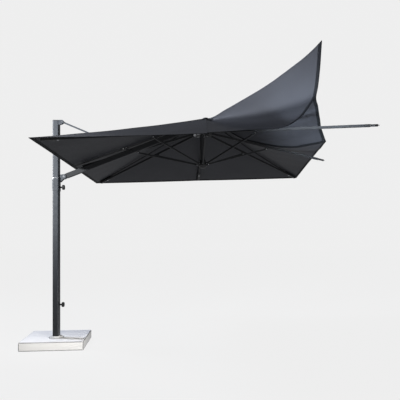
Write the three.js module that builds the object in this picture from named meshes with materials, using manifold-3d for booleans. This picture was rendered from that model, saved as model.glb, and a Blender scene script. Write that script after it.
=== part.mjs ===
// Cantilever parasol: slab, turning mast, sliding carriage, arm with stay, and an eight-rib square canopy.
// Millimetres, +Z up. The origin is on the slab's underside, on the mast's axis; the arm points along +X.
import * as THREE from "three";
import { mergeVertices } from "three/addons/utils/BufferGeometryUtils.js";
import Module from "manifold-3d";

// ---------- driving dimensions ----------
const SLAB = { x: 708, y: 692, z: 100, dx: -20, dy: 105, turn: 4, chamfer: 6 };
const FLANGE = { r: 82, t: 9, bolts: 4, boltCircle: 72 };
const SPIGOT = { r: 24.5, wall: 3, length: 430 };
const MAST = { x: 68, y: 90, wall: 3, corner: 9, z0: 112, z1: 2617 };
const CARRIAGE = { z0: 1803, z1: 1946, wall: 4, gap: 0.7 };
const KNOB = { r: 28.5, t: 24, stem: 9.5, lobes: 6 };
const KNOB_Z = { rotation: 484, carriage: 1845 };
const ARM = { width: 40, height: 58, wall: 2.5, root: [92, 0, 1968] };
const STAY = { r: 9, y: -32, upper: [75, 0, 2597], alongArm: 828 };
const HUB = { x: 1700, z: 2132, tilt: 1.8 }; // where the pole crosses the hem plane
const POLE = { r: 25, wall: 2.5, z0: -30, z1: 500 };
const TOP_HUB = { r: 100, z0: 328, z1: 380, ribR: 85, ribZ: 355 };
const ARM_END = { x: -130, z: 412 };
const RUNNER = { r: 54, z0: -37, z1: 13, strutR: 66, strutZ: -8 };
const CANOPY = { half: 1500, shift: -21, apex: [50, 0, 530], inner: 48, cloth: 3 };
const RIB = {
  width: 18, height: 24, midEnd: 1365, cornerEnd: 1976, bareCut: 52, dropAtEnd: -16, freeEnd: 38, clip: 700, clipDrop: 27,
};
const TIP = { r: 10.5, length: 82 };
const STRUT = { width: 16, height: 18 };
const LEFT_RIB_Y = 32; // the left middle rib runs beside the arm

// ---------- solids ----------
const wasm = await Module();
wasm.setup();
const { Manifold, Mesh } = wasm;

function toSolid(geometry) {
  const plain = new THREE.BufferGeometry();
  const source = geometry.index ? geometry.toNonIndexed() : geometry;
  plain.setAttribute("position", source.getAttribute("position").clone());
  const merged = mergeVertices(plain, 1e-3);
  return new Manifold(
    new Mesh({
      numProp: 3,
      vertProperties: merged.attributes.position.array,
      triVerts: new Uint32Array(merged.index.array),
    }),
  );
}

function toGeometry(solid) {
  const mesh = solid.getMesh();
  const positions = new Float32Array(mesh.numVert * 3);
  for (let i = 0; i < mesh.numVert; i++)
    positions.set(mesh.vertProperties.subarray(i * mesh.numProp, i * mesh.numProp + 3), i * 3);
  return new THREE.BufferGeometry()
    .setAttribute("position", new THREE.BufferAttribute(positions, 3))
    .setIndex(new THREE.BufferAttribute(mesh.triVerts, 1));
}

const join = (...parts) => toGeometry(parts.map(toSolid).reduce((a, b) => a.add(b)));
const cut = (body, ...tools) => toGeometry(tools.map(toSolid).reduce((a, b) => a.subtract(b), toSolid(body)));

const box = (x0, x1, y0, y1, z0, z1) =>
  new THREE.BoxGeometry(x1 - x0, y1 - y0, z1 - z0).translate((x0 + x1) / 2, (y0 + y1) / 2, (z0 + z1) / 2);

// A cylinder along X, Y or Z from a to b, centred on the other two coordinates.
function rod(axis, r, a, b, [u, v] = [0, 0], sides = 24) {
  const g = new THREE.CylinderGeometry(r, r, b - a, sides);
  if (axis === "x") return g.rotateZ(-Math.PI / 2).translate((a + b) / 2, u, v);
  if (axis === "y") return g.translate(u, (a + b) / 2, v);
  return g.rotateX(Math.PI / 2).translate(u, v, (a + b) / 2);
}

// A closed profile of [radius, z] turned round the Z axis.
function turned(profile, sides = 32) {
  const points = [...profile, profile[0]].map(([r, z]) => new THREE.Vector2(r, z));
  return new THREE.LatheGeometry(points, sides).rotateX(Math.PI / 2);
}

function roundedRect(w, h, r) {
  const s = new THREE.Shape(), x = w / 2, y = h / 2;
  s.moveTo(-x + r, -y).lineTo(x - r, -y).absarc(x - r, -y + r, r, -Math.PI / 2, 0, false);
  s.lineTo(x, y - r).absarc(x - r, y - r, r, 0, Math.PI / 2, false);
  s.lineTo(-x + r, y).absarc(-x + r, y - r, r, Math.PI / 2, Math.PI, false);
  s.lineTo(-x, -y + r).absarc(-x + r, -y + r, r, Math.PI, Math.PI * 1.5, false);
  return s;
}

const raise = (shape, depth, z0 = 0, curveSegments = 5) =>
  new THREE.ExtrudeGeometry(shape, { depth, bevelEnabled: false, curveSegments }).translate(0, 0, z0);

function boxTube(w, h, corner, wall, length, z0) {
  const s = roundedRect(w, h, corner);
  s.holes.push(roundedRect(w - 2 * wall, h - 2 * wall, Math.max(corner - wall, 0.5)));
  return raise(s, length, z0);
}

// A side profile of [x, z] points, made y0..y1 thick.
function plate(points, y0, y1) {
  const s = new THREE.Shape(points.map(([x, z]) => new THREE.Vector2(x, z)));
  return new THREE.ExtrudeGeometry(s, { depth: y1 - y0, bevelEnabled: false })
    .rotateX(Math.PI / 2).translate(0, y1, 0);
}

const arc = (cx, cz, r, from, to, steps = 8) =>
  Array.from({ length: steps + 1 }, (_, i) => {
    const a = THREE.MathUtils.degToRad(from + ((to - from) * i) / steps);
    return [cx + r * Math.cos(a), cz + r * Math.sin(a)];
  });

// A cloth sheet: corner points and triangles, given an even thickness, with its rim closed.
function cloth(points, triangles, thickness = CANOPY.cloth) {
  const P = points.map((p) => new THREE.Vector3(...p));
  const normals = P.map(() => new THREE.Vector3());
  for (const [a, b, c] of triangles) {
    const n = P[b].clone().sub(P[a]).cross(P[c].clone().sub(P[a])).normalize();
    for (const i of [a, b, c]) normals[i].add(n);
  }
  const at = (i, side) => P[i].clone().addScaledVector(normals[i].clone().normalize(), (side * thickness) / 2);
  const out = [];
  const face = (...v) => v.forEach((p) => out.push(p.x, p.y, p.z));
  const edges = new Map();
  for (const [a, b, c] of triangles) {
    face(at(a, 1), at(b, 1), at(c, 1));
    face(at(a, -1), at(c, -1), at(b, -1));
    for (const [i, j] of [[a, b], [b, c], [c, a]]) edges.set(i + "," + j, [i, j]);
  }
  for (const [i, j] of edges.values())
    if (!edges.has(j + "," + i)) {
      face(at(i, 1), at(i, -1), at(j, 1));
      face(at(j, 1), at(i, -1), at(j, -1));
    }
  return new THREE.BufferGeometry().setAttribute("position", new THREE.Float32BufferAttribute(out, 3));
}

// ---------- materials and the group ----------
const finish = {
  mast: { color: 0x8c949e, metalness: 0.35, roughness: 0.42 },
  dark: { color: 0x232528, metalness: 0.3, roughness: 0.5 },
  frame: { color: 0x1b1c1f, metalness: 0.4, roughness: 0.42 },
  plastic: { color: 0x2b2d30, metalness: 0, roughness: 0.55 },
  steel: { color: 0xb9bec4, metalness: 0.9, roughness: 0.28 },
  cloth: { color: 0x4a4e55, metalness: 0, roughness: 0.9 },
  slab: { color: 0xdadbdb, metalness: 0, roughness: 0.9 },
};
const parasol = new THREE.Group();

function add(name, look, geometry, matrix = new THREE.Matrix4()) {
  const mesh = new THREE.Mesh(geometry.clone().applyMatrix4(matrix), new THREE.MeshStandardMaterial(finish[look]));
  mesh.name = name;
  parasol.add(mesh);
}

const rad = THREE.MathUtils.degToRad;
const turnY = (degrees) => new THREE.Matrix4().makeRotationY(-rad(degrees)); // positive lifts the +X end
const turnZ = (degrees) => new THREE.Matrix4().makeRotationZ(rad(degrees));
const shift = (x, y, z) => new THREE.Matrix4().makeTranslation(x, y, z);
const HUB_FRAME = shift(HUB.x, 0, HUB.z).multiply(turnY(HUB.tilt));
const inHub = (x, y, z) => new THREE.Vector3(x, y, z).applyMatrix4(HUB_FRAME);

// ---------- base ----------
const boltAt = Array.from({ length: FLANGE.bolts }, (_, i) => {
  const a = rad(45 + (360 / FLANGE.bolts) * i);
  return [FLANGE.boltCircle * Math.cos(a), FLANGE.boltCircle * Math.sin(a)];
});
function slab() {
  const { x, y, z, dx, dy, turn, chamfer: c } = SLAB;
  const shape = roundedRect(x - 2 * c, y - 2 * c, 10);
  return new THREE.ExtrudeGeometry(shape, {
    depth: z - 2 * c, bevelEnabled: true, bevelThickness: c, bevelSize: c, bevelSegments: 1, curveSegments: 4,
  }).rotateZ(THREE.MathUtils.degToRad(turn)).translate(dx, dy, c);
}
add("base_slab", "slab", slab());
const onSlab = SLAB.z + 0.3;
const flange = turned([
  [SPIGOT.r - SPIGOT.wall, onSlab], [FLANGE.r, onSlab], [FLANGE.r, onSlab + FLANGE.t - 2],
  [FLANGE.r - 2, onSlab + FLANGE.t], [SPIGOT.r, onSlab + FLANGE.t], [SPIGOT.r, onSlab + SPIGOT.length],
  [SPIGOT.r - SPIGOT.wall, onSlab + SPIGOT.length],
], 40);
const boltHeads = boltAt.map((at) => rod("z", 6.5, onSlab + FLANGE.t - 1, onSlab + FLANGE.t + 7, at, 6));
add("base_socket", "dark", join(flange, ...boltHeads));

// ---------- mast ----------
const tube = boxTube(MAST.x, MAST.y, MAST.corner, MAST.wall, MAST.z1 - MAST.z0 - 6, MAST.z0);
add("mast_tube", "mast", tube);
const plugX = MAST.x - 2 * MAST.wall - 0.8, plugY = MAST.y - 2 * MAST.wall - 0.8;
const plug = (length, z0) => raise(roundedRect(plugX, plugY, MAST.corner - MAST.wall), length, z0);
add("mast_foot_bush", "plastic", cut(plug(90, MAST.z0 + 0.5), rod("z", SPIGOT.r + 0.5, 0, 400)));
add("socket_collar", "dark", cut(
  turned([[30, 110.5], [63, 110.5], [63, 119], [59, 124], [30, 124]], 40),
  box(-MAST.x / 2 - 0.6, MAST.x / 2 + 0.6, -MAST.y / 2 - 0.6, MAST.y / 2 + 0.6, 100, 140),
));
const capTop = raise(roundedRect(MAST.x, MAST.y, MAST.corner), 5.4, MAST.z1 - 5.6);
add("mast_cap", "plastic", join(capTop, plug(25, MAST.z1 - 30)));

// Clevis on the arm side of the mast's head, with the stay's pin across it.
const headX = MAST.x / 2 + 0.4;
const headSide = [
  [headX, MAST.z1 - 56], [headX + 42, MAST.z1 - 46], [headX + 60, MAST.z1 - 30], [headX + 60, MAST.z1 - 12],
  [headX + 48, MAST.z1], [headX, MAST.z1],
];
add("mast_head", "mast", cut(
  plate(headSide, STAY.y - 16, STAY.y + 16),
  box(headX + 7, headX + 80, STAY.y - 9.5, STAY.y + 9.5, MAST.z1 - 70, MAST.z1 - 6),
  rod("y", 5.3, -80, 40, [STAY.upper[0], STAY.upper[2]]),
));
add("stay_upper_pin", "steel", rod("y", 5, STAY.y - 17.5, STAY.y + 17.5, [STAY.upper[0], STAY.upper[2]], 20));

// ---------- clamp knobs ----------
function knobHead() {
  const s = new THREE.Shape(), steps = 48;
  for (let i = 0; i < steps; i++) {
    const a = (2 * Math.PI * i) / steps, r = KNOB.r - 1.8 * (1 - Math.cos(KNOB.lobes * a)) / 2;
    s[i ? "lineTo" : "moveTo"]((r - 1.5) * Math.cos(a), (r - 1.5) * Math.sin(a));
  }
  return new THREE.ExtrudeGeometry(s, {
    depth: KNOB.t - 3, bevelEnabled: true, bevelThickness: 1.5, bevelSize: 1.5, bevelSegments: 1,
  }).translate(0, 0, 1.5);
}
function knob(name, z, face) {
  const head = knobHead().rotateY(Math.PI / 2).translate(face + 30, 0, z);
  add(name, "plastic", join(
    head, rod("x", KNOB.stem, face + 8, face + 31, [0, z]), rod("x", 13, face, face + 8.5, [0, z]),
  ));
}
knob("rotation_knob", KNOB_Z.rotation, MAST.x / 2 + 0.4);

// ---------- carriage ----------
const sleeveX = MAST.x + 2 * (CARRIAGE.gap + CARRIAGE.wall), sleeveY = MAST.y + 2 * (CARRIAGE.gap + CARRIAGE.wall);
const forkX = sleeveX / 2 - 2, [rootX, , rootZ] = ARM.root;
const cheek = [
  [forkX, rootZ - 62], [forkX + 14, rootZ - 62], [rootX - 6, rootZ - 27], ...arc(rootX, rootZ, 27, -75, 95, 10),
  [sleeveX / 2 + 2.5, rootZ + 21], [sleeveX / 2 + 2.5, CARRIAGE.z1], [forkX, CARRIAGE.z1],
];
add("carriage_sleeve", "mast", join(
  boxTube(sleeveX, sleeveY, MAST.corner + 4, CARRIAGE.wall, CARRIAGE.z1 - CARRIAGE.z0, CARRIAGE.z0),
  cut(plate(cheek, -26, -20.6), rod("y", 8.3, -80, 80, [rootX, rootZ])),
  cut(plate(cheek, 20.6, 26), rod("y", 8.3, -80, 80, [rootX, rootZ])),
));
add("carriage_ring", "steel", boxTube(sleeveX + 2, sleeveY + 2, MAST.corner + 5, CARRIAGE.wall + 1, 8, CARRIAGE.z1 + 0.4));
knob("carriage_knob", KNOB_Z.carriage, sleeveX / 2 + 0.4);
add("arm_pivot_pin", "steel", join(
  rod("y", 8, -28, 28, [rootX, rootZ]), rod("y", 12, -31.5, -26.3, [rootX, rootZ]), rod("y", 12, 26.3, 31.5, [rootX, rootZ]),
));

// ---------- arm ----------
const armEnd = inHub(ARM_END.x, 0, ARM_END.z);
const armAngle = THREE.MathUtils.radToDeg(Math.atan2(armEnd.z - rootZ, armEnd.x - rootX));
const armLength = Math.hypot(armEnd.z - rootZ, armEnd.x - rootX);
const ARM_FRAME = shift(...ARM.root).multiply(turnY(armAngle));
const lieAlongX = (g) => g.rotateY(Math.PI / 2); // width stays on Y, height comes onto Z
const armTube = lieAlongX(boxTube(ARM.height, ARM.width, 6, ARM.wall, armLength - 44 - 66, 44));
add("arm_tube", "dark", armTube, ARM_FRAME);
const inArm = [ARM.height - 2 * ARM.wall - 0.8, ARM.width - 2 * ARM.wall - 0.8];
add("arm_root_fitting", "plastic", cut(
  join(
    lieAlongX(raise(roundedRect(...inArm, 3), 80, 30)),
    plate([[43.6, -28.5], [43.6, 28.5], ...arc(0, 0, 22, 100, 260, 12)], -19.8, 19.8),
  ),
  rod("y", 8.3, -60, 60),
), ARM_FRAME);
const endPlate = (y0, y1) => plate([[-66, -28], ...arc(0, 0, 25, -90, 90, 12), [-66, 28]], y0, y1);
add("arm_end_clevis", "plastic", cut(
  join(
    lieAlongX(raise(roundedRect(...inArm, 3), 70, -66 - 60)),
    box(-65.6, -40, -19.8, 19.8, -27, 27), endPlate(-19.8, -13.2).translate(0.4, 0, 0), endPlate(13.2, 19.8).translate(0.4, 0, 0),
  ),
  box(-39, 60, -13.2, 13.2, -60, 60), rod("y", 6.3, -60, 60),
), ARM_FRAME.clone().multiply(shift(armLength, 0, 0)));

// ---------- stay ----------
const armPoint = new THREE.Vector3(STAY.alongArm, 0, 0).applyMatrix4(ARM_FRAME);
const stayAngle = THREE.MathUtils.radToDeg(Math.atan2(armPoint.z - STAY.upper[2], armPoint.x - STAY.upper[0]));
const stayLength = Math.hypot(armPoint.z - STAY.upper[2], armPoint.x - STAY.upper[0]);
const eye = (x, r, w) => rod("y", r, -w, w, [x, 0], 20);
add("stay_rod", "steel", cut(
  join(rod("x", STAY.r, 6, stayLength - 6, [0, 0], 16), eye(0, 12, 8.6), eye(stayLength, 13, 8.6)),
  rod("y", 5.3, -40, 40), 
), shift(STAY.upper[0], STAY.y, STAY.upper[2]).multiply(turnY(stayAngle)));

// ---------- hub: pole, top hub, bracket ----------
add("hub_pole", "frame", turned([
  [POLE.r - POLE.wall, POLE.z0], [POLE.r, POLE.z0], [POLE.r, POLE.z1], [POLE.r - POLE.wall, POLE.z1],
], 28), HUB_FRAME);
const azimuths = { right_mid: 0, far_right: 45, far_mid: 90, far_left: 135, left_mid: 180, near_left: 225, near_mid: 270, near_right: 315 };
const hubBody = turned([
  [POLE.r + 0.4, TOP_HUB.z0], [TOP_HUB.r - 8, TOP_HUB.z0], [TOP_HUB.r, TOP_HUB.z0 + 6], [TOP_HUB.r, TOP_HUB.z1 - 6],
  [TOP_HUB.r - 6, TOP_HUB.z1], [POLE.r + 0.4, TOP_HUB.z1],
], 48);
const notch = (y0, y1) => box(66, 130, y0, y1, TOP_HUB.z0 - 10, TOP_HUB.z1 + 10);
const hubNotches = Object.entries(azimuths).map(([name, a]) =>
  name === "left_mid" ? box(-130, -58, LEFT_RIB_Y - 6.5, LEFT_RIB_Y + 6.5, 300, 400) : notch(-6.5, 6.5).applyMatrix4(turnZ(a)));
// Groove for the wire that the ribs hang on.
const groove = turned([
  [TOP_HUB.ribR - 2.2, TOP_HUB.ribZ - 2.2], [TOP_HUB.ribR + 2.2, TOP_HUB.ribZ - 2.2],
  [TOP_HUB.ribR + 2.2, TOP_HUB.z1 + 5], [TOP_HUB.ribR - 2.2, TOP_HUB.z1 + 5],
], 48);
add("top_hub", "plastic", cut(hubBody, ...hubNotches, groove), HUB_FRAME);
const wirePath = new THREE.CatmullRomCurve3(
  Array.from({ length: 33 }, (_, i) => {
    const a = rad(-146 + (292 * i) / 32);
    return new THREE.Vector3(TOP_HUB.ribR * Math.cos(a), TOP_HUB.ribR * Math.sin(a), TOP_HUB.ribZ);
  }),
);
const wireSection = new THREE.Shape(Array.from({ length: 8 }, (_, i) =>
  new THREE.Vector2(1.6 * Math.cos((i * Math.PI) / 4), 1.6 * Math.sin((i * Math.PI) / 4))));
add("hub_wire", "steel", new THREE.ExtrudeGeometry(wireSection, { steps: 40, extrudePath: wirePath }), HUB_FRAME);

const bracketSide = [[-22, 386], [-100, 386], ...arc(ARM_END.x, ARM_END.z, 20, -90, -270, 12), [-96, 436], [-60, 452], [-22, 452]];
add("hub_bracket", "plastic", cut(
  join(
    turned([[POLE.r + 0.4, 384], [38, 384], [38, 470], [35, 473], [POLE.r + 0.4, 473]], 32),
    plate(bracketSide, -12.4, 12.4),
  ),
  rod("z", POLE.r + 0.4, 300, 500, [0, 0], 32), rod("y", 6.3, -40, 40, [ARM_END.x, ARM_END.z]),
), HUB_FRAME);
add("hub_pivot_pin", "steel", rod("y", 6, -21, 21, [ARM_END.x, ARM_END.z], 20), HUB_FRAME);
const capDisc = turned([[0, 500.6], [44, 500.6], [44, 515], [38, 526], [26, 533], [10, 537], [0, 538]], 32);
add("top_cap", "plastic", join(
  capDisc.translate(CANOPY.apex[0], 0, 0), rod("z", 20, 470, 501, [0, 0], 28),
), HUB_FRAME);

// ---------- runner ----------
add("runner", "plastic", turned([
  [POLE.r + 0.8, RUNNER.z0], [RUNNER.r - 7, RUNNER.z0], [RUNNER.r, RUNNER.z0 + 10], [RUNNER.r, RUNNER.strutZ - 1],
  [RUNNER.r - 6, RUNNER.z1 - 12], [RUNNER.r - 6, RUNNER.z1], [38, RUNNER.z1], [34, RUNNER.z1 + 26],
  [POLE.r + 0.8, RUNNER.z1 + 26],
], 36), HUB_FRAME);
add("runner_cap", "plastic", turned([
  [0, RUNNER.z0 - 22], [20, RUNNER.z0 - 20], [36, RUNNER.z0 - 11], [42, RUNNER.z0 - 0.5], [0, RUNNER.z0 - 0.5],
], 32), HUB_FRAME);

// ---------- ribs and struts ----------
function rib(name, azimuth) {
  const corner = azimuth % 90 !== 0, y = name === "left_mid" ? -LEFT_RIB_Y : 0;
  const endR = corner ? CANOPY.half * Math.SQRT2 : CANOPY.half;
  const endZ = name === "near_right" ? RIB.freeEnd : RIB.dropAtEnd; // no cloth pulls the bare corner rib down
  const slope = THREE.MathUtils.radToDeg(Math.atan2(endZ - TOP_HUB.ribZ, endR - TOP_HUB.ribR));
  const bare = name === "near_right" || name === "right_mid"; // the cloth is off these two
  const length = (corner ? RIB.cornerEnd : RIB.midEnd) - (bare ? RIB.bareCut : 0);
  const h = RIB.height / 2, w = RIB.width / 2;
  const frame = HUB_FRAME.clone().multiply(turnZ(azimuth)).multiply(shift(TOP_HUB.ribR, y, TOP_HUB.ribZ)).multiply(turnY(slope));
  const bar = box(34, length, -w, w, -h, h);
  const tongue = plate([[36, -h], [36, h], ...arc(0, 0, 8, 90, 270, 10)], -5, 5);
  const clip = plate([
    [RIB.clip + 22, -h + 1], [RIB.clip - 22, -h + 1], ...arc(RIB.clip, -RIB.clipDrop, 8, 180, 360, 10),
  ], -3, 3);
  const bore = name === "left_mid" ? 2.4 : 2.3;
  const tools = [rod("y", bore, -20, 20, [0, 0], 16), rod("y", 3.3, -20, 20, [RIB.clip, -RIB.clipDrop], 16)];
  add("rib_" + name, "frame", cut(join(bar, tongue, clip), ...tools), frame);

  if (bare)
    add("rib_tip_" + name, "plastic", join(
      rod("x", 13, length + 0.4, length + 14, [0, 0], 20), rod("x", TIP.r, length + 10, length + TIP.length, [0, 0], 20),
      rod("x", 3, length + TIP.length - 5, length + TIP.length + 14, [0, 0], 12),
    ), frame);

  // The strut, drawn from its pin on the rib towards the runner.
  const pin = new THREE.Vector3(RIB.clip, 0, -RIB.clipDrop).applyMatrix4(turnY(slope)).add(new THREE.Vector3(TOP_HUB.ribR, 0, TOP_HUB.ribZ));
  const dx = pin.x - RUNNER.strutR, dz = pin.z - RUNNER.strutZ;
  const strutLength = Math.hypot(dx, dz), rise = THREE.MathUtils.radToDeg(Math.atan2(dz, dx));
  const sh = STRUT.height / 2, sw = STRUT.width / 2;
  const strutFrame = HUB_FRAME.clone().multiply(turnZ(azimuth)).multiply(shift(pin.x, y, pin.z)).multiply(turnY(rise));
  const forkSide = plate([[-26, -sh], ...arc(0, 0, 7, -90, 90, 8), [-26, sh]], -sw, sw);
  const slot = box(-17, 20, -3.5, 3.5, -20, 20);
  const innerEye = rod("y", 7, -4.5, 4.5, [-strutLength + 7, 0], 16);
  add("strut_" + name, "frame", join(
    cut(join(box(-strutLength + 9, -24, -sw, sw, -sh, sh), forkSide), slot), innerEye, rod("y", 2.7, -sw, sw, [0, 0], 12),
  ), strutFrame);
}
for (const [name, azimuth] of Object.entries(azimuths)) rib(name, azimuth);

// ---------- canopy ----------
// Sixteen half gores meet at the apex. Each runs from a rib's line to the crease in the middle of its gore.
const { half } = CANOPY;
const APEX = new THREE.Vector3(...CANOPY.apex);
const hemPoint = (azimuth, reach = half) => {
  const a = rad(azimuth), nearest = rad(Math.round(azimuth / 90) * 90), out = reach / Math.cos(a - nearest);
  return new THREE.Vector3(out * Math.cos(a) + CANOPY.shift, out * Math.sin(a), 0);
};
// The near right corner is off its rib and blown up, and it lifts the middle of the right side with it.
const lifted = { near_right: new THREE.Vector3(1019, -1380, 824), right_mid: new THREE.Vector3(1449, -66, 211) };
const lineEnd = (name) => lifted[name] ?? hemPoint(azimuths[name]);
const names = Object.keys(azimuths);
function creaseEnd(name) {
  const next = names[(names.indexOf(name) + 1) % names.length];
  if (name === "near_right") return lineEnd(name).clone().lerp(lineEnd(next), 0.5).add(new THREE.Vector3(-80, 0, 0));
  if (name === "right_mid") return lineEnd(name).clone().lerp(lineEnd(next), 0.414);
  return hemPoint(azimuths[name] + 22.5);
}
function halfGore(line, crease, gap) {
  const inset = (end, toward) => {
    const along = end.clone().sub(APEX).normalize(), side = toward.clone().sub(end);
    const d = side.addScaledVector(along, -side.dot(along)).normalize().multiplyScalar(gap);
    return [APEX.clone().lerp(end, CANOPY.inner / half).add(d), end.clone().add(d)];
  };
  const [lineIn, lineOut] = inset(line, crease), [creaseIn, creaseOut] = inset(crease, line);
  return cloth([lineIn, lineOut, creaseOut, creaseIn].map((v) => v.toArray()), [[0, 1, 2], [0, 2, 3]]);
}
// The stay passes through the canopy beside the left seam.
const stayHole = box(-965, -875, STAY.y - 13, STAY.y + 13, 0, 500);
names.forEach((name, i) => {
  const before = names[(i + names.length - 1) % names.length];
  const set = lifted[name] ? "loose_" : "canopy_", gap = lifted[name] || lifted[before] ? 2.2 : 0.9;
  const plus = halfGore(lineEnd(name), creaseEnd(name), gap);
  const minus = halfGore(lineEnd(name), creaseEnd(before), gap);
  add(set + name + "_plus", "cloth", name === "left_mid" ? cut(plus, stayHole) : plus, HUB_FRAME);
  add(set + name + "_minus", "cloth", minus, HUB_FRAME);
});

export default parasol;
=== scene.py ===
# Looks of the cantilever parasol: materials, sewn canopy, fine hard parts, camera and light.
# Metres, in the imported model's frame. The canopy is made in the hub's own frame, whose origin
# is where the pole crosses the plane of the hem, and is then placed by to_row().
import math

import bmesh
import bpy
import numpy as np
from mathutils import Matrix, Vector


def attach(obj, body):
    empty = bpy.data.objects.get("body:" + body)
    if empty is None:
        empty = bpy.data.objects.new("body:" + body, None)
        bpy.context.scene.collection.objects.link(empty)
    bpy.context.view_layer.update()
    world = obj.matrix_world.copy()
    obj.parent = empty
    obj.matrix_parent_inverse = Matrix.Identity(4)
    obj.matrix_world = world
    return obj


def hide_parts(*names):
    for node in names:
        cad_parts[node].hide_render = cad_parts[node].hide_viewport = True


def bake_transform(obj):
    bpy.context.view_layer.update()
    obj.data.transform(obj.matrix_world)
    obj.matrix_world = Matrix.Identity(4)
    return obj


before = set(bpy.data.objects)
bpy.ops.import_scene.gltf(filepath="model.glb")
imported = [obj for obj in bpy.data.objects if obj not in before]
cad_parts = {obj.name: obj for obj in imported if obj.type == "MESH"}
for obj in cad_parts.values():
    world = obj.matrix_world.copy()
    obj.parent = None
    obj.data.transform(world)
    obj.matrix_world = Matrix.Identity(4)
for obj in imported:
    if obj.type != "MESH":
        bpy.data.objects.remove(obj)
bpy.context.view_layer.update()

scene = bpy.context.scene

# ---------- camera ----------
SENSOR, LENS = 36, 41.328  # mm
RISE = 0.10425  # the lens is shifted up by this share of the frame, so that uprights stay upright
camera = bpy.data.cameras.new("camera")
camera.lens, camera.sensor_width, camera.sensor_fit = LENS, SENSOR, "HORIZONTAL"
camera.shift_y = RISE
eye = bpy.data.objects.new("camera", camera)
eye.location = (1.473, -5.389, 1.214)
eye.rotation_euler = (math.radians(90), 0, math.radians(-2.07))
scene.collection.objects.link(eye)
scene.camera = eye
scene.view_settings.view_transform = "Standard"


# ---------- materials ----------
class Shader:
    """A new Principled material, and short calls for the nodes that drive it."""

    def __init__(self, name, roughness=0.5, metallic=0.0, **plain):
        self.material = bpy.data.materials.new(name)
        self.material.use_nodes = True
        self.tree = self.material.node_tree
        self.surface = self.tree.nodes["Principled BSDF"]
        self.surface.inputs["Roughness"].default_value = roughness
        self.surface.inputs["Metallic"].default_value = metallic
        for key, value in plain.items():
            self.surface.inputs[key.replace("_", " ")].default_value = value

    def node(self, kind, inputs=(), **settings):
        made = self.tree.nodes.new("ShaderNode" + kind)
        for key, value in settings.items():
            setattr(made, key, value)
        for key, value in dict(inputs).items():
            if isinstance(value, bpy.types.NodeSocket):
                self.tree.links.new(value, made.inputs[key])
            else:
                made.inputs[key].default_value = value
        return made

    def place(self, scale=(1, 1, 1)):
        """The row frame's own coordinates, stretched by scale."""
        where = self.node("TexCoord").outputs["Object"]
        return self.node("Mapping", {"Vector": where, "Scale": scale}).outputs["Vector"]

    def noise(self, scale, detail=3, rough=0.55, at=None, stretch=(1, 1, 1)):
        at = self.place(stretch) if at is None else at
        inputs = {"Vector": at, "Scale": scale, "Detail": detail, "Roughness": rough}
        return self.node("TexNoise", inputs).outputs["Fac"]

    def spread(self, value, low, high, to_low=0.0, to_high=1.0):
        inputs = {"Value": value, 1: low, 2: high, 3: to_low, 4: to_high}
        return self.node("MapRange", inputs).outputs["Result"]

    def math(self, operation, a, b=0.0, clamp=False):
        return self.node("Math", {0: a, 1: b}, operation=operation, use_clamp=clamp).outputs[0]

    def blend(self, fac, a, b):
        made = self.node("Mix", data_type="RGBA")
        for i, value in ((0, fac), (6, a), (7, b)):
            if isinstance(value, bpy.types.NodeSocket):
                self.tree.links.new(value, made.inputs[i])
            else:
                made.inputs[i].default_value = value if i == 0 else (*value, 1)
        return made.outputs[2]

    def colour(self, socket):
        self.tree.links.new(socket, self.surface.inputs["Base Color"])

    def roughness(self, socket):
        self.tree.links.new(socket, self.surface.inputs["Roughness"])

    def bump(self, height, strength, distance):
        inputs = {"Height": height, "Strength": strength, "Distance": distance}
        normal = self.node("Bump", inputs).outputs["Normal"]
        self.tree.links.new(normal, self.surface.inputs["Normal"])


def powder_coat(name, light, dark, rough, top=None, coat=0.12):
    """Satin powder coat: orange peel, faint cloudiness, and dust where it has stood outdoors."""
    s = Shader(name, rough, Coat_Weight=coat, Coat_Roughness=0.3)
    cloud = s.spread(s.noise(6, 4), 0.3, 0.7)
    tone = s.blend(cloud, dark, light)
    if top:  # painted light: the colour is lighter higher up and darker lower down, as the light falls on it
        height = s.node("SeparateXYZ", {"Vector": s.place()}).outputs["Z"]
        tone = s.blend(s.spread(height, *top[:2]), tone, s.blend(cloud, *top[2:]))
    dust = s.math("MULTIPLY", s.spread(s.noise(38, 6, 0.7), 0.56, 0.82), 0.16)
    s.colour(s.blend(dust, tone, tuple(min(1, 1.9 * c + 0.02) for c in light)))
    s.roughness(s.spread(s.noise(24, 4), 0.25, 0.75, rough - 0.07, rough + 0.09))
    s.bump(s.noise(900, 2), 0.12, 0.0004)
    return s.material


def moulded(name, light, dark, rough=0.52):
    """Moulded plastic with a fine spark-eroded grain."""
    s = Shader(name, rough)
    s.colour(s.blend(s.spread(s.noise(14, 5), 0.3, 0.7), dark, light))
    s.roughness(s.spread(s.noise(60, 3), 0.3, 0.7, rough - 0.08, rough + 0.08))
    s.bump(s.noise(1500, 2), 0.25, 0.0003)
    return s.material


def brushed(name, light, dark, along):
    """Steel, brushed along one axis."""
    s = Shader(name, 0.3, 1.0)
    line = [900, 900, 900]
    line[along] = 9
    scratch = s.noise(1, 2, at=s.place(line))
    s.colour(s.blend(scratch, dark, light))
    s.roughness(s.spread(scratch, 0.3, 0.7, 0.22, 0.4))
    s.bump(scratch, 0.15, 0.0002)
    return s.material


def cast_stone(name, light, dark):
    s = Shader(name, 0.85)
    speck = s.spread(s.noise(140, 6, 0.7), 0.35, 0.75)
    s.colour(s.blend(speck, light, s.blend(s.noise(9, 4), light, dark)))
    s.roughness(s.spread(s.noise(45, 4), 0.3, 0.7, 0.75, 0.92))
    s.bump(s.math("ADD", s.noise(260, 4), s.math("MULTIPLY", s.noise(18, 3), 2)), 0.2, 0.0012)
    return s.material


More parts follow.
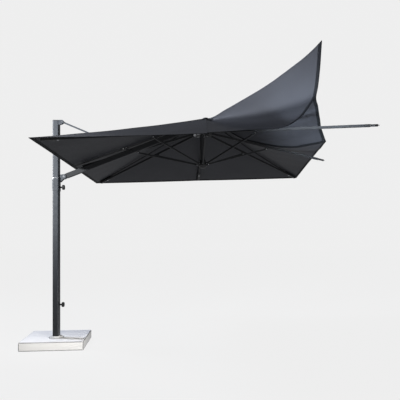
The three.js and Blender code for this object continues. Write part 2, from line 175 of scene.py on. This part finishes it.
def woven(name, light, dark, sheen, gloss, stitches=()):
    """Solution-dyed cloth. Its UV map is the flat cut in metres: U along the hem, V up from it.
    stitches are (edge, distance): rows of thread at a distance from the hem or from the rib's seam."""
    s = Shader(name, 0.66, Sheen_Weight=sheen, Sheen_Roughness=0.45, Specular_IOR_Level=gloss)
    flat = s.node("UVMap", uv_map="cut").outputs["UV"]
    part = s.node("SeparateXYZ", {"Vector": flat})
    u, v = part.outputs["X"], part.outputs["Y"]
    thread = 0.0011
    warp = s.math("SINE", s.math("MULTIPLY", u, 2 * math.pi / thread))
    weft = s.math("SINE", s.math("MULTIPLY", v, 2 * math.pi / thread))
    weave = s.math("MULTIPLY", warp, weft)
    slub = s.noise(1, 3, at=s.node("Mapping", {"Vector": flat, "Scale": (900, 22, 1)}).outputs[0])
    slub2 = s.noise(1, 3, at=s.node("Mapping", {"Vector": flat, "Scale": (22, 900, 1)}).outputs[0])
    fade = s.spread(s.noise(2.3, 5, 0.6), 0.3, 0.72)
    tone = s.blend(fade, dark, light)
    lift = tuple(min(1, 1.5 * c) for c in light)
    tone = s.blend(s.math("MULTIPLY", s.spread(s.math("ADD", slub, slub2), 0.9, 1.35), 0.35), tone, lift)
    height = s.math("ADD", s.math("MULTIPLY", weave, 0.35), s.math("ADD", slub, slub2))
    for edge, distance in stitches:
        run, off = (u, v) if edge == "hem" else (v, u)
        band = s.math("LESS_THAN", s.math("ABSOLUTE", s.math("SUBTRACT", off, distance)), 0.0011)
        dash = s.math("LESS_THAN", s.math("FRACT", s.math("MULTIPLY", run, 1 / 0.0055)), 0.62)
        row = s.math("MULTIPLY", band, dash)
        tone = s.blend(row, tone, tuple(min(1, 2.6 * c + 0.015) for c in light))
        height = s.math("ADD", height, s.math("MULTIPLY", row, 1.5))
    s.colour(tone)
    s.roughness(s.spread(slub, 0.3, 0.7, 0.45, 0.57))
    s.bump(height, 0.3, 0.0005)
    return s.material


# painted light: the mast is coloured lighter towards its top and darker towards its foot, as the light falls
# on it
MAST = powder_coat("mast_coat", (0.009, 0.0102, 0.0125), (0.0075, 0.0085, 0.0105), 0.42,
                   (0.2, 2.5, (0.052, 0.0585, 0.070), (0.060, 0.067, 0.080)))
DARK = powder_coat("dark_coat", (0.014, 0.015, 0.0175), (0.010, 0.011, 0.013), 0.6, coat=0.03)
BLACK = powder_coat("black_coat", (0.0095, 0.0105, 0.0128), (0.007, 0.0078, 0.0095), 0.7, coat=0.0)
PLASTIC = moulded("black_plastic", (0.011, 0.0115, 0.013), (0.008, 0.0083, 0.0095))
STEEL = brushed("steel_across", (0.62, 0.63, 0.65), (0.42, 0.43, 0.45), 1)
# painted shade: the stay is near black below the canopy, where the canopy shades it, and grey above it
STAY = powder_coat("stay_coat", (0.010, 0.011, 0.013), (0.008, 0.009, 0.0105), 0.75,
                   (2.33, 2.36, (0.070, 0.078, 0.092), (0.080, 0.089, 0.104)), coat=0.0)
STONE = cast_stone("cast_stone", (0.74, 0.74, 0.735), (0.68, 0.68, 0.675))
PALE = powder_coat("pale_coat", (0.62, 0.62, 0.62), (0.58, 0.58, 0.58), 0.5)
STONE_EDGE = cast_stone("cast_stone_edge", (0.34, 0.34, 0.34), (0.26, 0.26, 0.26))
CLOTH = woven("canopy_cloth", (0.0225, 0.0240, 0.0290), (0.0180, 0.0193, 0.0235), 0.0, 0.20)
BAND = woven("canopy_band", (0.0075, 0.0082, 0.0096), (0.0055, 0.006, 0.007), 0.0, 0.05,
             [("hem", 0.005), ("hem", 0.029), ("rib", 0.004), ("rib", 0.0115)])

for prefix, made in {
    "base_": PALE, "socket": PALE, "mast_tube": MAST, "mast_head": MAST, "mast_foot": PLASTIC,
    "mast_cap": PLASTIC, "stay_upper": STEEL, "rotation_knob": PLASTIC, "carriage_sleeve": MAST,
    "carriage_ring": STEEL, "carriage_knob": PLASTIC, "arm_pivot": STEEL, "arm_tube": DARK,
    "arm_root": PLASTIC, "arm_end": PLASTIC, "stay_rod": STAY, "hub_pole": DARK,
    "top_hub": PLASTIC, "hub_wire": STEEL, "hub_bracket": PLASTIC, "hub_pivot": STEEL,
    "top_cap": PLASTIC, "runner": PLASTIC, "rib_": BLACK, "strut_": BLACK, "rib_tip": PLASTIC,
}.items():
    for name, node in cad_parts.items():
        if name.startswith(prefix):
            node.data.materials.clear()
            node.data.materials.append(made)


# ---------- meshes ----------
def piece(name, verts, faces, materials, slots=None, smooth=True, body=None, finish=None):
    mesh = bpy.data.meshes.new(name)
    mesh.from_pydata([tuple(map(float, v)) for v in verts], [], [tuple(map(int, f)) for f in faces])
    for m in materials:
        mesh.materials.append(m)
    mesh.polygons.foreach_set("use_smooth", [smooth] * len(mesh.polygons))
    if slots is not None:
        mesh.polygons.foreach_set("material_index", slots)
    mesh.update()
    made = bpy.data.objects.new(name, mesh)
    scene.collection.objects.link(made)
    if body:
        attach(made, body)
    return made


TILT = math.radians(1.8)
HUB_TO_ROW = Matrix.Translation((1.700, 0, 2.132)) @ Matrix.Rotation(-TILT, 4, "Y")


def to_row(points):
    turn = np.array(HUB_TO_ROW.to_3x3())
    return np.asarray(points, float) @ turn.T + np.array(HUB_TO_ROW.translation)


def curve(knots):
    """A smooth function of 0..1 through (where, point) knots."""
    t = np.array([k[0] for k in knots], float)
    p = np.array([k[1] for k in knots], float)
    slope = np.gradient(p, t, axis=0) if p.ndim == 1 else np.stack(
        [np.gradient(p[:, i], t) for i in range(p.shape[1])], 1)

    def at(x):
        x = min(max(float(x), t[0]), t[-1])
        i = min(int(np.searchsorted(t, x, side="right")) - 1, len(t) - 2)
        h = t[i + 1] - t[i]
        s = (x - t[i]) / h
        a, b = 2 * s**3 - 3 * s**2 + 1, s**3 - 2 * s**2 + s
        c, d = -2 * s**3 + 3 * s**2, s**3 - s**2
        return a * p[i] + b * h * slope[i] + c * p[i + 1] + d * h * slope[i + 1]

    return at


# ---------- canopy ----------
AZIMUTHS = {"right_mid": 0, "far_right": 45, "far_mid": 90, "far_left": 135, "left_mid": 180,
            "near_left": 225, "near_mid": 270, "near_right": 315}
NAMES = list(AZIMUTHS)
LOOSE = ("near_right", "right_mid")
HALF = 1.5
SHIFT = np.array([-0.021, 0, 0])  # the hem is a little nearer the mast than the pole
APEX = np.array([0.05, 0, 0.53])
ALONG, ACROSS = 44, 18  # cells of a half gore, apex to hem and rib to crease
INNER = 0.028  # where the cloth starts, under the cap


def hem_at(azimuth):
    a = math.radians(azimuth)
    off = math.radians(azimuth - 90 * round(azimuth / 90 - 1e-9))
    return np.array([math.cos(a), math.sin(a), 0]) * HALF / math.cos(off) + SHIFT


LINE_END = {n: hem_at(a) for n, a in AZIMUTHS.items()}
LINE_END["near_right"] = np.array([1.019, -1.380, 0.824])
LINE_END["right_mid"] = np.array([1.449, -0.066, 0.211])
# How far each seam hangs below the straight line from the apex to its end.
SAG = {n: curve([(0, 0), (0.19, 0.012), (0.37, 0.0165), (0.52, 0.018), (0.69, 0.016), (0.85, 0.010), (1, 0)])
       for n in NAMES}  # the corner ribs
for n in ("far_mid", "left_mid", "near_mid"):
    SAG[n] = curve([(0, 0), (0.25, 0.009), (0.5, 0.012), (0.75, 0.009), (1, 0)])
SAG["near_right"] = curve([
    (0, 0), (0.036, 0.023), (0.223, 0.050), (0.425, 0.070), (0.62, 0.075),
    (0.774, 0.063), (0.886, 0.047), (0.953, 0.024), (1, 0)])
SAG["right_mid"] = curve([
    (0, 0), (0.1, 0.055), (0.21, 0.115), (0.31, 0.163), (0.42, 0.172), (0.533, 0.174),
    (0.614, 0.171), (0.69, 0.155), (0.766, 0.130), (0.885, 0.067), (0.958, 0.028), (1, 0)])
# The free hems, from one seam's end to the next.
HEM = {
    "near_mid": curve([
        (0, (-0.021, -1.5, 0.006)), (0.235, (0.332, -1.503, 0.022)), (0.414, (0.600, -1.502, 0.035)),
        (0.52, (0.747, -1.470, 0.098)), (0.63, (0.867, -1.438, 0.215)), (0.735, (0.945, -1.412, 0.352)),
        (0.86, (0.989, -1.393, 0.56)), (1, LINE_END["near_right"])]),
    "near_right": curve([
        (0, LINE_END["near_right"]), (0.19, (1.071, -1.12, 0.665)), (0.34, (1.111, -0.91, 0.592)),
        (0.5, (1.157, -0.70, 0.520)), (0.64, (1.229, -0.52, 0.487)), (0.77, (1.295, -0.36, 0.418)),
        (0.88, (1.354, -0.21, 0.330)), (1, LINE_END["right_mid"])]),
}
CREASE = {n: 0.414 if AZIMUTHS[n] % 90 == 0 else 0.586 for n in NAMES}
CREASE["near_right"] = 0.5


def hem(name, w):
    """The hem of the gore that starts at the named seam, w from 0 to 1 towards the next one."""
    if name in HEM:
        return HEM[name](w)
    after = NAMES[(NAMES.index(name) + 1) % 8]
    p = (1 - w) * LINE_END[name] + w * LINE_END[after]
    inward = (SHIFT - p) * np.array([1, 1, 0])
    inward /= np.linalg.norm(inward)
    return p + 4 * w * (1 - w) * (0.009 * inward - np.array([0, 0, 0.004]))


def ripple(p, u, w, name):
    """Small waves that the cloth hangs in: fans at the corners, and shallow dents between the ribs."""
    r = math.hypot(p[0], p[1])
    a = math.atan2(p[1], p[0])
    fade = math.sin(math.pi * min(max(u, 0), 1)) ** 0.6
    out = 0.0016 * math.sin(19 * a + 2.1 * math.sin(5 * r)) * u
    out += 0.0014 * math.sin(7.3 * p[0] + 5.1 * p[1] + 1.3) * math.sin(6.1 * p[1] - 4.2 * p[0] + 0.4)
    out += 0.0022 * math.sin(41 * a + 1.7) * max(0, u - 0.72) / 0.28
    if name != "near_right":
        out *= fade
    free = {"near_mid": max(0, (w - 0.30) / 0.7), "near_right": 1,
            "right_mid": 0.3 * max(0, 1 - w / 0.6)}.get(name, 0)  # how loosely the gore hangs here
    if free:
        grow = u * u * free * min(1, 8 * w if name != "near_mid" else 1) * min(1, 8 * (1 - w))
        out += 0.015 * grow * math.sin(2 * math.pi * (3.1 * w + 0.25 * u + 0.15))
        out += 0.008 * grow * math.sin(2 * math.pi * (6.7 * w - 0.4 * u + 0.3))
    if name == "near_right":  # folds beside the free hem
        phase = 11.5 * u + 0.35 * w + 0.30 * math.sin(17 * u + 2.3 * w) + 0.12 * math.sin(41 * u)
        height = 0.0105 * (0.62 + 0.38 * math.sin(13 * u + 5 * w + 0.8))
        out += height * math.sin(2 * math.pi * phase) * (1 - abs(2 * w - 1) ** 3) * max(0, (u - 0.62) / 0.38)
    if name == "near_mid" and w > 0.7 and u > 0.5:  # short creases below the lifted seam
        out += 0.012 * (w - 0.7) * (u - 0.5) * math.sin(2 * math.pi * (8.5 * u + 2.2 * w))
    return out


def surface(name, u, w):
    """A point of the gore between the named seam, w = 0, and the next, w = 1, at u of the way to the hem."""
    after = NAMES[(NAMES.index(name) + 1) % 8]
    p = APEX + u * (hem(name, w) - APEX)
    # between the seams the cloth dips a little more than along them
    drop = (1 - w) * SAG[name](u) + w * SAG[after](u)
    drop += 0.007 * math.sin(math.pi * min(u, 1)) * 4 * w * (1 - w)
    p = p - np.array([0, 0, drop])
    return p + np.array([0, 0, ripple(p, u, w, name)])


def normal(name, u, w):
    e = 0.004
    w0, w1 = max(w - e, 0), min(w + e, 1)
    du = surface(name, u + e, w) - surface(name, u - e, w)
    dw = surface(name, u, w1) - surface(name, u, w0)
    n = np.cross(du, dw)
    return n / max(np.linalg.norm(n), 1e-9)


def grid(name, us, ws, lift=0.0, hole=None):
    """Points, normals and quads of a patch of the gore. ws are lists, one per u, or one for all."""
    P, N, F = [], [], []
    rows = [ws(u) if callable(ws) else ws for u in us]
    for u, row in zip(us, rows):
        for w in row:
            n = normal(name, u, w)
            P.append(surface(name, u, w) + lift * n)
            N.append(n)
    k = len(rows[0])
    for i in range(len(us) - 1):
        for j in range(k - 1):
            if hole and hole(us[i], us[i + 1], rows[i][j], rows[i][j + 1]):
                continue
            a = i * k + j
            F.append((a, a + k, a + k + 1, a + 1))
    return P, N, F


STAY_SLOT = {"u": (0.594, 0.622), "w": (0.0213, 0.0490)}  # where the stay goes through, of the left_mid gore


# Widths and lengths of the hem band, the tapes and the patch under the cap, in metres on the cloth.
HEM_BAND, SEAM_TAPE, SEAM_TAPE_UNDER = 0.034, 0.009, 0.017
END_TAPE, END_TAPE_LENGTH, CAP_PATCH = 0.024, 0.30, 0.085


def half_gore(line, side):
    """One half gore: the cloth, its hem band, and its half of the tape over the rib's seam."""
    name = line if side == "plus" else NAMES[(NAMES.index(line) - 1) % 8]
    c = CREASE[name]
    lo, hi = (0.0, c) if side == "plus" else (c, 1.0)
    us = list(np.linspace(INNER, 1, ALONG + 1))
    ws = list(np.linspace(lo, hi, ACROSS + 1))
    cut_out = None
    if line == "left_mid" and side == "plus":
        us = sorted({*us, *STAY_SLOT["u"]})
        ws = sorted({*ws, *STAY_SLOT["w"], 0.034})
        su, sw = STAY_SLOT["u"], STAY_SLOT["w"]
        cut_out = lambda u0, u1, w0, w1: (su[0] - 1e-6 <= u0 and u1 <= su[1] + 1e-6
                                          and sw[0] - 1e-6 <= w0 and w1 <= sw[1] + 1e-6)
    patches = [(*grid(name, us, ws, hole=cut_out), 0)]
    wide = np.linalg.norm(hem(name, 1) - hem(name, 0))
    tall = np.linalg.norm((hem(name, 0) + hem(name, 1)) / 2 - APEX)
    band = 1 - HEM_BAND / tall
    for lift in (0.0015, -0.0015):
        patches.append((*grid(name, [band - 0.0006, band, (band + 1) / 2, 1.0012], ws, lift), 1))
    edge_a, edge_b = grid(name, [1.0012], ws, 0.0015), grid(name, [1.0012], ws, -0.0015)
    k = len(ws)
    rim = [(i, i + 1, k + i + 1, k + i) for i in range(k - 1)]
    patches.append((edge_a[0] + edge_b[0], edge_a[1] + edge_b[1], rim, 1))
    for lift, half in ((0.0013, SEAM_TAPE), (-0.0013, SEAM_TAPE_UNDER)):
        def strip(u, half=half):
            reach = min(half / (wide * max(u, 0.05)), 0.3)
            steps = np.linspace(0, reach, 4)
            return list(steps) if side == "plus" else list(1 - steps[::-1])
        top = [u for u in us if u > 0.05]
        patches.append((*grid(name, top, strip, lift), 0 if lift > 0 else 1))
    # wider tape over the rib's end, and the round patch under the cap
    def wide_strip(u):
        reach = END_TAPE / (wide * u)
        steps = np.linspace(0, reach, 4)
        return list(steps) if side == "plus" else list(1 - steps[::-1])
    if line != "left_mid":
        outer = np.linspace(1 - END_TAPE_LENGTH / tall, 0.999, 9)
        patches.append((*grid(name, outer, wide_strip, -0.0021), 1))
    collar = (CAP_PATCH * tall / np.linalg.norm(LINE_END[line] - APEX), CAP_PATCH)
    patches.append((*grid(name, np.linspace(INNER, max(collar), 4), ws, 0.0012), 1))
    if cut_out:
        (u0, u1), (w0, w1) = STAY_SLOT["u"], STAY_SLOT["w"]
        for lift in (0.0017, -0.0017):
            for ua, ub, wa, wb in ((u0 - 0.014, u0, w0 - 0.008, w1 + 0.014),
                                   (u1, u1 + 0.014, w0 - 0.008, w1 + 0.014),
                                   (u0, u1, w0 - 0.008, w0), (u0, u1, w1, w1 + 0.014)):
                patches.append((*grid(name, np.linspace(ua, ub, 4), list(np.linspace(wa, wb, 4)), lift), 1))
    P, N, F, S = [], [], [], []
    for p, n, f, slot in patches:
        base = len(P)
        P += p
        N += n
        F += [tuple(base + i for i in q) for q in f]
        S += [slot] * len(f)
    turn = np.array(HUB_TO_ROW.to_3x3())
    prefix = "loose_" if line in LOOSE else "canopy_"
    node = prefix + line + "_" + side
    made = piece(node + "_cloth", to_row(P), F, [CLOTH, BAND], S, finish="cloth")
    # the flat cut, for the weave and the stitches
    cut = made.data.uv_layers.new(name="cut")
    flat = [flat_cut(name, line, p) for p in P]
    values = [flat[loop.vertex_index] for loop in made.data.loops]
    cut.data.foreach_set("uv", np.array(values, np.float32).ravel())
    normals = np.array(N) @ turn.T
    made.data.normals_split_custom_set_from_vertices([tuple(v) for v in normals])
    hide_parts(node)
    return made, node


def flat_cut(name, line, p):
    """Where a point of the cloth lies in its flat cut: metres from the rib's seam, metres from the hem."""
    a, b = hem(name, 0), hem(name, 1)
    seam = LINE_END[line]
    d = (seam - APEX) / np.linalg.norm(seam - APEX)
    v = np.asarray(p) - APEX
    along = float(v @ d)
    off = float(np.linalg.norm(v - along * d))
    h = (b - a) / np.linalg.norm(b - a)
    up = (a - APEX) - h * ((a - APEX) @ h)
    tall = np.linalg.norm(up)
    return off, float(tall - v @ (up / tall))


def body_pair(line, side):
    """The two bodies that a half gore hangs between, and the one it rides on beyond its fold."""
    if line in LOOSE:
        return ("loose_" + line, "loose_" + line + "_minus") if side == "minus" else (None, "loose_" + line)
    return "rib_" + line, "canopy_" + line + "_" + side


canopy = {}
for line in NAMES:
    for side in ("plus", "minus"):
        made, node = half_gore(line, side)
        canopy[node] = made
        fixed, moving = body_pair(line, side)
        if fixed is None:
            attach(made, moving)
            continue
        # the seam's direction and the way across it are worked out but not used; the cloth is only baked
        # where it stands
        name = line if side == "plus" else NAMES[(NAMES.index(line) - 1) % 8]
        c = CREASE[name]
        end, toward = LINE_END[line], hem(name, c)
        d = (end - APEX) / np.linalg.norm(end - APEX)
        side_way = (toward - end) - d * ((toward - end) @ d)
        side_way /= np.linalg.norm(side_way)
        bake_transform(made)


# ---------- slab ----------
def rounded_slab(name, box_size, centre, turn, width, body, node):
    """A cast block whose rounded arrises are a second material."""
    mesh = bpy.data.meshes.new(name)
    bm = bmesh.new()
    bmesh.ops.create_cube(bm, size=1)
    bmesh.ops.scale(bm, vec=box_size, verts=bm.verts)
    bmesh.ops.bevel(bm, geom=[*bm.edges, *bm.verts], offset=width, segments=4, profile=0.5, affect="EDGES")
    for f in bm.faces:
        f.smooth = True
        f.material_index = 0 if max(abs(c) for c in f.normal) > 0.9999 else 1
    place = Matrix.Translation(centre) @ Matrix.Rotation(turn, 4, "Z")
    bmesh.ops.transform(bm, matrix=place, verts=bm.verts)
    bm.to_mesh(mesh)
    bm.free()
    mesh.materials.append(STONE)
    mesh.materials.append(STONE_EDGE)
    made = bpy.data.objects.new(name, mesh)
    scene.collection.objects.link(made)
    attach(made, body)
    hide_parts(node)
    return made


SLAB_SIZE, SLAB_CENTRE, SLAB_TURN, ARRIS = (0.708, 0.692, 0.1), (-0.020, 0.105, 0.05), math.radians(4), 0.010
rounded_slab("slab_cast", SLAB_SIZE, SLAB_CENTRE, SLAB_TURN, ARRIS, "base", "base_slab")


# ---------- small hard parts ----------
def lathe(profile, sides=20):
    """Vertices and faces of a profile of (radius, height) turned round Z; a zero radius closes an end."""
    V, F, rings = [], [], []
    for r, z in profile:
        if r < 1e-9:
            rings.append([len(V)])
            V.append((0, 0, z))
        else:
            rings.append(list(range(len(V), len(V) + sides)))
            V += [(r * math.cos(2 * math.pi * i / sides), r * math.sin(2 * math.pi * i / sides), z)
                  for i in range(sides)]
    for a, b in zip(rings, rings[1:]):
        for i in range(sides):
            j = (i + 1) % sides
            if len(a) == 1:
                F.append((a[0], b[j], b[i]))
            elif len(b) == 1:
                F.append((a[i], a[j], b[0]))
            else:
                F.append((a[i], a[j], b[j], b[i]))
    return V, F


def gather(parts):
    """Join (vertices, faces, matrix) parts into one list of vertices and one of faces."""
    V, F = [], []
    for verts, faces, matrix in parts:
        base = len(V)
        V += [tuple(matrix @ Vector(v)) for v in verts]
        F += [tuple(base + i for i in f) for f in faces]
    return V, F


def head(r, h):
    """A domed rivet head, standing on z = 0."""
    return lathe([(0, -0.001), (r, -0.001), (r, 0.15 * h), (0.86 * r, 0.55 * h),
                  (0.55 * r, 0.88 * h), (0, h)])


rim = lathe([(0.0815, 0.1005), (0.0845, 0.1005), (0.0850, 0.1050),
             (0.0845, 0.1098), (0.0815, 0.1098), (0.0815, 0.1005)], 48)
piece("base_socket_rim", *rim, [STONE_EDGE], body="base", finish="frame")


RIB_AT = (0.085, 0.355)  # the ribs' pins, out from the pole's axis and up from the hem plane
RUNNER_AT = (0.066, -0.008)  # the struts' inner pins, in the same way
CLIP_AT = (0.700, -0.027)  # the strut's pin on the rib, along it and below it
CORNER_RIB, MIDDLE_RIB = 1.976, 1.365
PIN_SIDE = 0.0081  # from the middle of a rib or strut to the face its rivet heads stand on


def rib_frame(name):
    """The rib's own frame: X along it from its pin, Z up across it."""
    azimuth = AZIMUTHS[name]
    reach = HALF * math.sqrt(2) if azimuth % 90 else HALF
    end = 0.038 if name == "near_right" else -0.016
    slope = math.atan2(end - RIB_AT[1], reach - RIB_AT[0])
    aside = -0.032 if name == "left_mid" else 0
    at = (HUB_TO_ROW @ Matrix.Rotation(math.radians(azimuth), 4, "Z")
          @ Matrix.Translation((RIB_AT[0], aside, RIB_AT[1])) @ Matrix.Rotation(-slope, 4, "Y"))
    return at, slope, aside


def across(matrix, x, y, z, side):
    """A frame at x, y, z whose Z points to the rib's side (1 or -1)."""
    return matrix @ Matrix.Translation((x, y, z)) @ Matrix.Rotation(-side * math.pi / 2, 4, "X")


for name in NAMES:
    frame_of, slope, aside = rib_frame(name)
    length = CORNER_RIB if AZIMUTHS[name] % 90 else MIDDLE_RIB
    rivets = [(*head(0.0062, 0.0026), across(frame_of, CLIP_AT[0], PIN_SIDE * k, CLIP_AT[1], k))
              for k in (1, -1)]
    # the pin that holds the strut's inner end beside the runner
    radial = HUB_TO_ROW @ Matrix.Rotation(math.radians(AZIMUTHS[name]), 4, "Z")
    rivets += [(*head(0.0050, 0.0024), across(radial, RUNNER_AT[0], aside + PIN_SIDE * k, RUNNER_AT[1], k))
               for k in (1, -1)]
    piece("strut_" + name + "_rivets", *gather(rivets), [STEEL], body="strut_" + name, finish="steel")
    if name in LOOSE or name == "left_mid":
        continue
    # the moulded boot on the rib's end, which is sewn to the cloth's corner or middle
    out, inner = length + 0.006, length - 0.220
    rows = []
    for x in (inner, inner + 0.004, inner + 0.012, length - 0.03, length, out - 0.002, out):
        pinch = 0.7 if x in (inner, out) else 1.0
        half, low = 0.0150 * pinch, -0.0155 * (0.8 if x in (inner, out) else 1)
        # up to the cloth
        across_pole = RIB_AT[0] + x * math.cos(slope)
        line = LINE_END[name] - APEX
        reach = math.cos(math.radians(AZIMUTHS[name])), math.sin(math.radians(AZIMUTHS[name]))
        hit = (across_pole - APEX[0] * reach[0]) / max(line[0] * reach[0] + line[1] * reach[1], 1e-6)
        top_z = APEX[2] + hit * line[2] - SAG[name](hit) - 0.004
        high = min(max((top_z - RIB_AT[1] - x * math.sin(slope)) / math.cos(slope), 0.0135), 0.030)
        ring = [(-half, low + 0.004), (-half + 0.004, low), (half - 0.004, low), (half, low + 0.004),
                (half, 0.010), (half - 0.006, high), (-half + 0.006, high), (-half, 0.010)]
        rows.append([(x, y, z) for y, z in ring])
    V = [v for row in rows for v in row]
    F = [(8 * i + j, 8 * i + (j + 1) % 8, 8 * i + 8 + (j + 1) % 8, 8 * i + 8 + j)
         for i in range(len(rows) - 1) for j in range(8)]
    F += [tuple(range(7, -1, -1)), tuple(8 * (len(rows) - 1) + j for j in range(8))]
    piece("rib_" + name + "_boot", *gather([(V, F, frame_of)]), [PLASTIC], smooth=False,
          body="rib_" + name, finish="plastic")
    under = frame_of @ Matrix.Translation((length - 0.155, 0, -0.0155)) @ Matrix.Rotation(math.pi, 4, "X")
    piece("rib_" + name + "_rivet", *gather([(*head(0.0105, 0.0035), under)]), [STEEL],
          body="rib_" + name, finish="steel")

# bright strips under the top hub, between the slots that the ribs swing in
slots_at = [0, 45, 90, 135, 158, 225, 270, 315, 360]  # degrees; the left rib's slot is beside the arm
TRIM_RING = ((0.080, 0.3278), (0.0935, 0.3278), (0.1008, 0.3340), (0.1008, 0.3395), (0.0995, 0.3395),
             (0.0990, 0.3345), (0.0925, 0.3262), (0.080, 0.3262))
V, F = [], []
for a0, a1 in zip(slots_at, slots_at[1:]):
    steps = np.radians(np.linspace(a0 + 6, a1 - 6, 9))
    base = len(V)
    for a in steps:
        for r, z in TRIM_RING:
            V.append((r * math.cos(a), r * math.sin(a), z))
    for i in range(len(steps) - 1):
        for j in range(8):
            k = (j + 1) % 8
            F.append((base + 8 * i + j, base + 8 * i + k, base + 8 * i + 8 + k, base + 8 * i + 8 + j))
    F += [tuple(base + j for j in range(8)), tuple(base + 8 * (len(steps) - 1) + j for j in range(7, -1, -1))]
piece("top_hub_trim", *gather([(V, F, HUB_TO_ROW)]), [STEEL], smooth=False, body="hub", finish="steel")


# ---------- floor, backdrop and light ----------
def glow(name, level, share):
    """Pale studio paper, evenly lit, that still takes a faint shadow."""
    m = bpy.data.materials.new(name)
    m.use_nodes = True
    tree = m.node_tree
    tree.nodes.clear()
    out = tree.nodes.new("ShaderNodeOutputMaterial")
    emit = tree.nodes.new("ShaderNodeEmission")
    emit.inputs["Color"].default_value = (level, level, level, 1)
    paper = tree.nodes.new("ShaderNodeBsdfDiffuse")
    paper.inputs["Color"].default_value = (0.8, 0.8, 0.8, 1)
    mix = tree.nodes.new("ShaderNodeMixShader")
    mix.inputs[0].default_value = share
    tree.links.new(emit.outputs[0], mix.inputs[1])
    tree.links.new(paper.outputs[0], mix.inputs[2])
    tree.links.new(mix.outputs[0], out.inputs["Surface"])
    return m


PAPER = 0.858
floor = piece("floor", [(-60, -60, 0), (60, -60, 0), (60, 60, 0), (-60, 60, 0)], [(0, 1, 2, 3)],
              [glow("floor_paper", PAPER * 1.028, 0.04)], smooth=False)
floor.location.z = -0.001
floor.visible_diffuse = False
floor.visible_glossy = False

world = bpy.data.worlds.new("studio")
scene.world = world
world.use_nodes = True
tree = world.node_tree
tree.nodes.clear()
out = tree.nodes.new("ShaderNodeOutputWorld")
seen = tree.nodes.new("ShaderNodeBackground")
seen.inputs["Color"].default_value = (PAPER, PAPER, PAPER, 1)
lit = tree.nodes.new("ShaderNodeBackground")
where = tree.nodes.new("ShaderNodeTexCoord")
split = tree.nodes.new("ShaderNodeSeparateXYZ")
ramp = tree.nodes.new("ShaderNodeValToRGB")
ramp.color_ramp.elements[0].position, ramp.color_ramp.elements[0].color = 0.0, (0.47, 0.47, 0.49, 1)
ramp.color_ramp.elements[1].position, ramp.color_ramp.elements[1].color = 1.0, (0.22, 0.22, 0.23, 1)
for at, value in ((0.36, 0.36), (0.46, 0.22), (0.52, 0.16), (0.60, 0.15)):
    e = ramp.color_ramp.elements.new(at)
    e.color = (value, value * 1.01, value * 1.03, 1)
half = tree.nodes.new("ShaderNodeMapRange")
half.inputs[1].default_value, half.inputs[2].default_value = -1, 1
path = tree.nodes.new("ShaderNodeLightPath")
mix = tree.nodes.new("ShaderNodeMixShader")
for a, b in ((where.outputs["Generated"], split.inputs[0]), (split.outputs["Z"], half.inputs[0]),
             (half.outputs[0], ramp.inputs[0]), (ramp.outputs[0], lit.inputs["Color"]),
             (path.outputs["Is Camera Ray"], mix.inputs[0]), (lit.outputs[0], mix.inputs[1]),
             (seen.outputs[0], mix.inputs[2]), (mix.outputs[0], out.inputs["Surface"])):
    tree.links.new(a, b)


def lamp(name, place, target, size, power, tint=(1, 1, 1), cone=None):
    light = bpy.data.lights.new(name, "SPOT" if cone else "AREA")
    light.energy, light.color = power, tint
    if cone:
        light.spot_size, light.spot_blend, light.shadow_soft_size = math.radians(cone), 0.7, size
    else:
        light.shape, light.size = "DISK", size
    made = bpy.data.objects.new(name, light)
    made.location = place
    made.rotation_euler = (Vector(target) - Vector(place)).to_track_quat("-Z", "Y").to_euler()
    scene.collection.objects.link(made)


lamp("key", (-3.3, 0.75, 5.9), (1.9, -0.7, 2.4), 1.4, 385, (0.78, 0.84, 1.0))
lamp("mast_light", (-4.2, -4.0, 3.1), (0.0, 0.0, 2.2), 0.5, 3400, (0.95, 0.98, 1.0), cone=30)
lamp("fill", (4.5, -4.0, 0.6), (1.7, 0, 2.2), 2.5, 40)
lamp("kicker", (0.8, -4.5, 0.4), (2.9, -0.8, 2.4), 0.25, 4500, (0.84, 0.92, 1.0), cone=16)
lamp("base_light", (3.2, -3.9, 0.9), (0.0, 0.1, 0.06), 0.3, 640, (1.0, 0.98, 0.95), cone=19)
lamp("slab_light", (0.6, -2.6, 3.6), (0.0, 0.0, 0.1), 0.4, 600, (1.0, 0.96, 0.90), cone=20)
